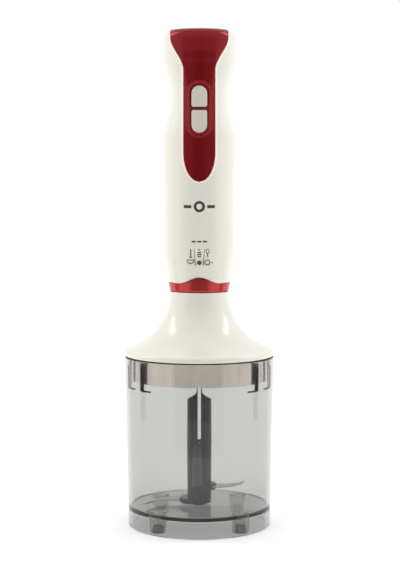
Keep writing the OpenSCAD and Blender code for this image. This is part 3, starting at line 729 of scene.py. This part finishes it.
def printed_marks():
    """Plain printed signs on the barrel: a ring between two bars, dashes and small pictures."""
    lines = []
    sign_z, dash_z, thin = 64.4, 38.4, 0.5

    def line(points, width=thin, closed=False):
        path = points if closed else subdivided(points)
        lines.append(surface_strip("mark", path, width, 0.02, PRINT, closed))

    def loop(cx, cz, r, width=thin, stretch=1.0):
        line(arc_path(cx, cz, r, 0, 345, stretch=stretch), width, closed=True)

    loop(0, sign_z, 3.2, 2.1)
    for side in (-1, 1):
        line([(side * 5.9, sign_z), (side * 11.6, sign_z)], 2.3)
    for x in (-4.2, 0, 4.2):
        line([(x - 1.6, dash_z), (x + 1.6, dash_z)], 1.2)
    # Slanted dividers between the pictures.
    for side in (-1, 1):
        line([(side * 3.9, 33), (side * 2.9, 20.2)], 0.35)
    # A stick over a bowl.
    line([(-6.4, 33), (-6.4, 27.2)], 0.8)
    line([(-7.3, 26.8), (-5.5, 26.8)], 0.8)
    line(arc_path(-6.6, 24.6, 2.6, 180, 360))
    line([(-9.4, 24.7), (-3.9, 24.7)], 0.6)
    # Stacked bars over a dot.
    for z, half in ((32.4, 0.7), (30.4, 1.3), (28.8, 1.6), (27.2, 1.2)):
        line([(-half, z), (half, z)], 0.9)
    loop(0, 22.6, 0.85, 1.6)
    # A whisk over a cup.
    loop(6.2, 31.3, 1.1, stretch=1.5)
    line([(6.2, 29.6), (6.2, 26.8)], 0.8)
    loop(5.9, 22.9, 1.9)
    line([(8.6, 22.6), (10.2, 22.6)])
    return join("handle_marks", lines)


def panel_trim():
    """The pale raised bead on the housing round the red panel: cream plastic drawn paler as a
    painted highlight along the panel's edge.
    """
    offset, shortest = 0.55, 0.25
    side = [(panel_half_width(z) + offset, z)
            for z in panel_heights()[::2] if z > PANEL_TIP + 0.5]
    tip = arc_path(0, PANEL_TIP + 1.2, 1.6, 235, 305, 10)
    path = [(-x, z) for x, z in reversed(side)] + tip + side
    clean = [path[0]]
    for p in path[1:]:
        if math.dist(p, clean[-1]) > shortest:
            clean.append(p)
    return surface_strip("panel_bead", clean, width=1.5, proud=0.42, look=TRIM_HIGHLIGHT_LOOK)


# ---------- lid ----------

NECK_R = 22.8
LID_R = 56.5
SHOULDER = 49.2
FLARE_TOP = 45.0
FLARE_H = 46.0
LIP = 4.1
LID_LOW = 0.9
LID_WALL = 2.4
PLATE_R = 6.0
PLATE_T = 3.0
FLARE_END = math.asin((FLARE_TOP - LIP) / FLARE_H)
FLARE_W = (LID_R - NECK_R) / (1 - math.cos(FLARE_END))
SPIGOT = (14.4, 18.0, 67.0)  # inner radius, outer radius, top
GROOVE = (18.4, 21.6, 47.9)  # inner radius, outer radius, bottom
CHANNEL_R = 16.2
CHANNEL_LOW = 59.0
CHANNEL_HALF = 9.2
TWIST = 25.0


def flare(a):
    """The flare's outside, a quarter of an ellipse, as (radius, height) at angle a."""
    return NECK_R + FLARE_W * (1 - math.cos(a)), FLARE_TOP - FLARE_H * math.sin(a)


def flare_inside(a):
    """The flare's inside, one wall thickness in from the outside."""
    n = Vector((FLARE_H * math.cos(a), FLARE_W * math.sin(a))).normalized()
    r, z = flare(a)
    return r - LID_WALL * n.x, z - LID_WALL * n.y


def lid_shell():
    """The flared cover with its spigot, seal groove and the two locking channels."""
    s_in, s_out, s_top = SPIGOT
    g_in, g_out, g_low = GROOVE
    top = [(s_in, s_top), (s_out, s_top), (s_out, SHOULDER), (g_in, SHOULDER), (g_in, g_low),
           (g_out, g_low), (g_out, SHOULDER), (NECK_R, SHOULDER)]
    outside = rounded(top, [0.4, 0.4, 0, 0, 0, 0, 0.2, 0])[:-1]
    outside += [(NECK_R - 0.5, SHOULDER), (NECK_R - 0.15, SHOULDER - 0.15),
                (NECK_R, SHOULDER - 0.5)]
    steps, kept = 70, 67  # the flare's last steps give way to a rounded shoulder
    outside += [flare(FLARE_END * i / steps) for i in range(kept + 1)]
    edge_r, edge_z = outside[-1]
    shoulder = LIP - 0.8
    for a in (25, 50, 75, 90):
        out, up = math.sin(math.radians(a)), math.cos(math.radians(a))
        outside.append((edge_r + (LID_R - edge_r) * out, shoulder + (edge_z - shoulder) * up))
    outside += [(LID_R, LID_LOW + 0.6), (LID_R - 0.15, LID_LOW + 0.15), (LID_R - 0.6, LID_LOW)]
    inner_end = FLARE_END * 0.95
    inside = [(flare_inside(inner_end)[0], LID_LOW)]
    inside += [flare_inside(inner_end * (1 - i / 30)) for i in range(31)]
    inside += [(s_out, FLARE_TOP), (s_out, FLARE_TOP - PLATE_T), (PLATE_R, FLARE_TOP - PLATE_T),
               (PLATE_R, SHOULDER), (s_in, SHOULDER)]
    obj = lathe("lid_body", [(r, RIM + z) for r, z in outside + inside], CREAM, 192)
    cutters = []
    low, high = RIM + CHANNEL_LOW, RIM + CHANNEL_LOW + 4
    past_r, past_top = s_out + 2, RIM + s_top + 3
    for a in (0, 180):
        start, end = a - CHANNEL_HALF, a + CHANNEL_HALF
        cutters.append(sector("cut", CHANNEL_R, past_r, start, end, low, past_top))
        cutters.append(sector("cut", CHANNEL_R, past_r, start, end + TWIST, low, high))
    return combine(obj, cutters, "DIFFERENCE")


def ring_piece(name, r_in, r_out, low, high, radius, look):
    """A plain ring with rounded corners."""
    corners = [(r_in, low), (r_out, low), (r_out, high), (r_in, high)]
    return lathe(name, rounded(corners, [radius] * 4), look, 192)


# ---------- bowl ----------

BOWL_FOOT_R = 53.5
BOWL_WALL = 2.4
FLOOR_LOW = 12.6
BOSS_H = 0.8
POST_HOLE_R = 4.05
POSTS = [(x, y) for x in (-30, 30) for y in (-31, 31)]
PIN_R = 3.0
RIB_LOW = RIM - 22.5
RIB_ANGLES = (51, 72)


def bowl_r(z):
    """Outer radius of the bowl at height z."""
    return BOWL_FOOT_R + (LID_R - BOWL_FOOT_R) * z / RIM


def bowl():
    """The clear bowl: tapered wall, thin floor with a pin boss, skirt and hollow posts."""
    wall, foot = BOWL_WALL, BOWL_FOOT_R
    boss, hole, hole_low = FLOOR_TOP + BOSS_H, PIN_R + 0.05, FLOOR_LOW + 1
    corners = [
        ((0, FLOOR_LOW), 0),
        ((bowl_r(FLOOR_LOW) - wall, FLOOR_LOW), 0.8),
        ((foot - wall, 0), 0.5),
        ((foot, 0), 0.8),
        ((LID_R, RIM), 0.7),
        ((LID_R - wall, RIM), 0.7),
        ((bowl_r(FLOOR_TOP) - wall, FLOOR_TOP), 1.2),
        ((6, FLOOR_TOP), 0.4),
        ((5.2, boss), 0.3),
        ((hole, boss), 0.2),
        ((hole, hole_low), 0),
        ((0, hole_low), 0),
    ]
    obj = lathe("bowl_body", rounded(*zip(*corners)), BOWL, 224)
    post_low, post_high = 0.85, FLOOR_LOW + 0.8
    tube = [(POST_HOLE_R, post_low), (5.8, post_low), (6.6, post_high), (POST_HOLE_R, post_high)]
    return combine(obj, [lathe("post", tube, BOWL, 48, post) for post in POSTS], "UNION")


def ribs():
    """The ribs inside the rim, clear plastic drawn near-black as painted shade for light leaving
    them sideways: uprights, each with a toe at its foot towards the front.
    """
    r = LID_R - BOWL_WALL
    half, length = 1.6, 9.5  # in degrees
    pieces = []
    for side in (-1, 1):
        for angle in RIB_ANGLES:
            a = -90 + side * angle
            upright = sector("rib", r - 1.45, r - 0.12, a - half, a + half,
                             RIB_LOW + 0.3, RIM - 1.6, 3)
            start, end = sorted((a, a - side * length))
            foot = sector("toe", r - 1.7, r - 0.25, start, end, RIB_LOW + 0.05, RIB_LOW + 1.2, 12)
            pieces.append(combine(upright, [foot], "UNION"))
            # The clear ribs take the near-black painted shade.
            upright.data.materials.clear()
            upright.data.materials.append(RIB_SHADE_LOOK)
    return join("rim_ribs", pieces)


# ---------- blade ----------

HUB_LOW = 16.2
HUB_R = 9.1
HUB_TOP = RIM - 32.6
NECK_TOP = RIM - 14
NECK_PIN_R = 2.0
SLOT_LOW = 62.0
SLOT_TOP = NECK_TOP - 9.3
HUB_BORE_R = 5.0
HUB_BORE_TOP = HUB_TOP - 3
SLOT_HALF = 1.25
COLLAR = (3.6, 26.2, 9.4, 4.4)  # x, bottom, radius, height
HEEL = (-5.0, HUB_LOW, 10.4, 3.8)
TONGUE = (-1.28, -8.1, 30.0)  # x, y, bottom
BLADE_ROOT_R = 8.0
BLADE_ROOT_W = 16
BLADE_TIP_W = 0.6
BLADE_GRIND_W = 5
BLADE_T = 1.2
UPPER_Z = 28.0
LOWER_Z = 17.4
UPPER_TIP_R = 38.0
LOWER_TIP_R = 44.0


def hub():
    """The dark blade hub: body with a through slot, split neck, drive dog and two flanges."""
    bore = HUB_BORE_R
    neck = HUB_R - 0.6 - NECK_PIN_R  # how much the body narrows into its neck
    shape = [(bore, HUB_LOW + 0.02), (HUB_R - 0.4, HUB_LOW + 0.02), (HUB_R - 0.1, HUB_LOW + 0.4),
             (HUB_R + 0.3, SLOT_LOW), (HUB_R + 0.05, HUB_TOP - 0.5), (HUB_R - 0.2, HUB_TOP)]
    shape += [(NECK_PIN_R + neck * (1 - i / 14) ** 2.2, HUB_TOP + 0.2 + 5.8 * i / 14)
              for i in range(15)]
    shape += [(NECK_PIN_R, NECK_TOP - 0.3), (NECK_PIN_R - 0.3, NECK_TOP), (0, NECK_TOP),
              (0, HUB_TOP - 2), (bore, HUB_BORE_TOP)]
    obj = lathe("hub_body", shape, HUB, 96)
    additions = []
    for x, z, r, h in (COLLAR, HEEL):
        corners = [(0, z + 0.03), (r, z + 0.03), (r, z + h), (0, z + h)]
        additions.append(lathe("disc", rounded(corners, [0, 0.9, 1.3, 0]), HUB, 72, (x, 0)))
    additions.append(prism("dog", rectangle(0.7, 3.2), NECK_TOP - 8, NECK_TOP - 0.01))
    combine(obj, additions, "UNION")
    hole = [(0, HUB_LOW - 1), (bore, HUB_LOW - 1), (bore, HUB_BORE_TOP), (0, HUB_BORE_TOP)]
    slot = prism("slot", rectangle(SLOT_HALF, 20), SLOT_LOW, SLOT_TOP)
    return combine(obj, [lathe("cut", hole, None, 64), slot], "DIFFERENCE", sharp=40)


def tongue():
    """The slim guide on the front of the hub, with a domed upper end, a little lighter: a lighter
    copy of the hub's plastic as a painted highlight.
    """
    x, y, low = TONGUE
    r, top = 3.0, SLOT_LOW - 3
    shape = [(0, low), (4.4, low), (r, top)]
    shape += [(dx, top + dz) for dx, dz in (circle(r, a) for a in (20, 40, 60, 75, 90))]
    return lathe("hub_tongue", shape, TONGUE_HIGHLIGHT_LOOK, 40, (x, y))


def blade(name, z, tip_r, turn):
    """A crescent blade with a ground cutting edge; turn is its place round the hub in degrees."""
    steps, sweep, back = 40, 38, 16  # the blade starts back from its place and sweeps forward
    loops = []
    for i in range(steps + 1):
        t = min(i / steps, 0.995)
        r = BLADE_ROOT_R + (tip_r - BLADE_ROOT_R) * t
        width = BLADE_ROOT_W * (1 - t) ** 0.65 + BLADE_TIP_W
        mid = turn - back + sweep * t ** 1.6
        half = math.degrees(width / (2 * r))
        grind = half * min(0.7, BLADE_GRIND_W / width)
        stations = [(-half, 0.0), (-half + grind, 0.5), (half, 0.5)]
        over = [(mid + a, 0.5 + up) for a, up in stations]
        under = [(mid + a, 0.5 - up) for a, up in reversed(stations[1:])]
        loops.append([(*circle(r, a), z + BLADE_T * h) for a, h in over + under])
    return close_ends(loft(name, loops, BLADE, closed=False, sharp=20))


# ---------- build ----------

front = housing("front_shell", 180, 360)
rear = housing("rear_shell", 0, 180)
combine(front, button_cutters(1.3), "DIFFERENCE")
gland_low, gland_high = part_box("cable_gland")
gland_y = (gland_low[1] + gland_high[1]) / 2 / MM
vents = [prism("cut", rectangle(1, 7, (x, GRIP + 33)), 10, 40, "Y") for x in (-12, -6, 0, 6, 12)]
gland_hole = lathe("cut", [(0, GRIP + 180), (6, GRIP + 180), (6, GRIP + 210), (0, GRIP + 210)],
                   None, 64, (0, gland_y))
combine(rear, vents + [gland_hole], "DIFFERENCE")
finish_piece(front, "handle", "cream_plastic", "front_housing")
finish_piece(rear, "handle", "cream_plastic", "rear_housing")
red_panel = combine(panel(), button_cutters(0.5), "DIFFERENCE")
finish_piece(red_panel, "handle", "panel_plastic", "control_panel")
finish_piece(panel_trim(), "handle", "cream_plastic")
finish_piece(printed_marks(), "handle", "cream_plastic")
finish_piece(collar(), "handle", "ring_plastic", "collar_ring")
for kind in BUTTONS:
    finish_piece(button_cap(kind), kind + "_key", "button_plastic", kind + "_button")
    button_dome(kind)

finish_piece(lid_shell(), "lid", "cream_plastic", "lid_cover")
band_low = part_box("lid_band")[0][2] / MM
finish_piece(ring_piece("band_ring", 50.95, 51.7, band_low, RIM - 0.3, 0.25, BAND),
             "lid", "band_steel", "lid_band")
finish_piece(ring_piece("seal_ring", 52.4, 55.7, RIM + 0.1, RIM + 0.8, 0.3, SEAL),
             "lid", "seal_rubber", "lid_seal")

finish_piece(bowl(), "bowl", "clear_plastic", "bowl")
finish_piece(ribs(), "bowl", "clear_plastic")
stem = POST_HOLE_R - 0.1
pad_profile = rounded([(0, 0), (5.3, 0), (5.3, 0.8), (stem, 0.8), (stem, 5.8), (0, 5.8)],
                      [0, 0.3, 0.2, 0, 0.5, 0])
pads = [lathe("pad", pad_profile, PAD, 48, post) for post in POSTS]
finish_piece(join("foot_discs", pads), "bowl", "pad_rubber", "foot_pads")

finish_piece(hub(), "blade", "hub_plastic", "blade_hub")
finish_piece(tongue(), "blade", "hub_plastic")
finish_piece(blade("upper_crescent", UPPER_Z, UPPER_TIP_R, 0),
             "blade", "blade_steel", "upper_blade")
finish_piece(blade("lower_crescent", LOWER_Z, LOWER_TIP_R, 180),
             "blade", "blade_steel", "lower_blade")

# The CAD nodes that stay in view get their slot's material.
slots = {part["node"]: part["material_slot"] for part in frame["record"]["subparts"]}
for node, obj in frame["nodes"].items():
    look = SLOT_LOOKS[slots[node]]
    for held in obj.material_slots:
        held.material = look
    if not obj.material_slots:
        obj.data.materials.append(look)


# ---------- stage, light and camera ----------

CLOTH_R = 0.75
CLOTH_SPLIT = 0.08  # height between the low pale cloth and the ones above it
CLOTH_TOP = 0.42
CLOTH_LOW = 0.001


def area_light(name, place, target, width, height, power):
    data = bpy.data.lights.new(name, "AREA")
    data.shape = "RECTANGLE"
    data.size, data.size_y, data.energy = width, height, power
    obj = bpy.data.objects.new(name, data)
    obj.location = place
    obj.rotation_euler = (Vector(target) - Vector(place)).to_track_quat("-Z", "Y").to_euler()
    bpy.context.scene.collection.objects.link(obj)


def sheet(name, verts, faces, look):
    """A staged mesh object from points in metres."""
    data = bpy.data.meshes.new(name)
    data.from_pydata(verts, [], faces)
    data.materials.append(look)
    obj = bpy.data.objects.new(name, data)
    bpy.context.scene.collection.objects.link(obj)
    return obj


def flag(name, start, end, near, far, look):
    """A curved cloth round the object that only shades and shows in reflections.

    Angles are in degrees from the front, towards +X; near and far are its edges' (radius, height).
    """
    angles = [math.radians(a) for a in span(start, end, 3)]
    verts = [(r * math.sin(a), -r * math.cos(a), z) for r, z in (near, far) for a in angles]
    n = len(angles)
    obj = sheet(name, verts, [(i, i + 1, n + i + 1, n + i) for i in range(n - 1)], look)
    obj.visible_camera = False
    obj.visible_transmission = False
    return obj


def wall_flag(name, start, end, low, high, look):
    """An upright cloth at the cloths' radius."""
    flag(name, start, end, (CLOTH_R, low), (CLOTH_R, high), look)


def floor_flag(name, start, end, inner, look):
    """A cloth on the floor out to the upright ones, which shows in reflections only."""
    obj = flag(name, start, end, (inner, CLOTH_LOW), (CLOTH_R, CLOTH_LOW), look)
    obj.visible_diffuse = False
    obj.visible_shadow = False


FLOOR_PAINT = material("floor_paint", (0.82, 0.82, 0.82), 0.8, scale=2, colour_shift=0.005,
                       Emission_Color=(1, 1, 1, 1), Emission_Strength=0.32)
FLAG = material("flag_cloth", (0.03, 0.03, 0.03), 0.9, scale=40)
GREY_FLAG = material("grey_cloth", (0.22, 0.215, 0.21), 0.9, scale=40)
PALE_FLAG = material("pale_cloth", (0.35, 0.345, 0.34), 0.9, scale=40)

floor = sheet("floor", [(x, y, 0) for x, y in rectangle(40, 40)], [(0, 1, 2, 3)], FLOOR_PAINT)
floor.location = (0, 0, -0.0002)
wall_flag("front_flag", -17, 17, CLOTH_SPLIT, CLOTH_TOP, FLAG)
wall_flag("low_flag", -36, 36, CLOTH_LOW, CLOTH_SPLIT, PALE_FLAG)
floor_flag("front_mat", -36, 36, 0.3, PALE_FLAG)
for side in (-1, 1):
    start, end = sorted((side * 17, side * 54))
    wall_flag("near_flag", start, end, CLOTH_SPLIT, CLOTH_TOP, GREY_FLAG)
    start, end = sorted((side * 88, side * 99))
    wall_flag("side_flag", start, end, CLOTH_LOW, 0.1, FLAG)
    floor_flag("side_mat", start, end, 0.45, FLAG)

scene = bpy.context.scene
scene.world = bpy.data.worlds.new("studio")
scene.world.use_nodes = True
background = scene.world.node_tree.nodes["Background"]
background.inputs["Color"].default_value = (1, 1, 1, 1)
background.inputs["Strength"].default_value = 1.01

for side in (-1, 1):
    area_light("side_box", (side * 1.2, 0.3, 1.1), (0, 0, 0.25), width=0.3, height=0.8, power=4)

camera_data = bpy.data.cameras.new("camera")
camera_data.lens = 97.9
camera_data.sensor_width = 36
camera_data.shift_x = 0.0012
camera_data.shift_y = -0.2211
camera_data.clip_end = 100
camera = bpy.data.objects.new("camera", camera_data)
camera.location = (0, -1.178, 0.2763)
camera.rotation_euler = (math.radians(90), 0, 0)
scene.collection.objects.link(camera)
scene.camera = camera
scene.view_settings.view_transform = "Standard"
# The bowl needs many bounces to stay clear.
scene.cycles.max_bounces = 32
scene.cycles.transmission_bounces = 32
scene.cycles.transparent_max_bounces = 32
scene.cycles.glossy_bounces = 12
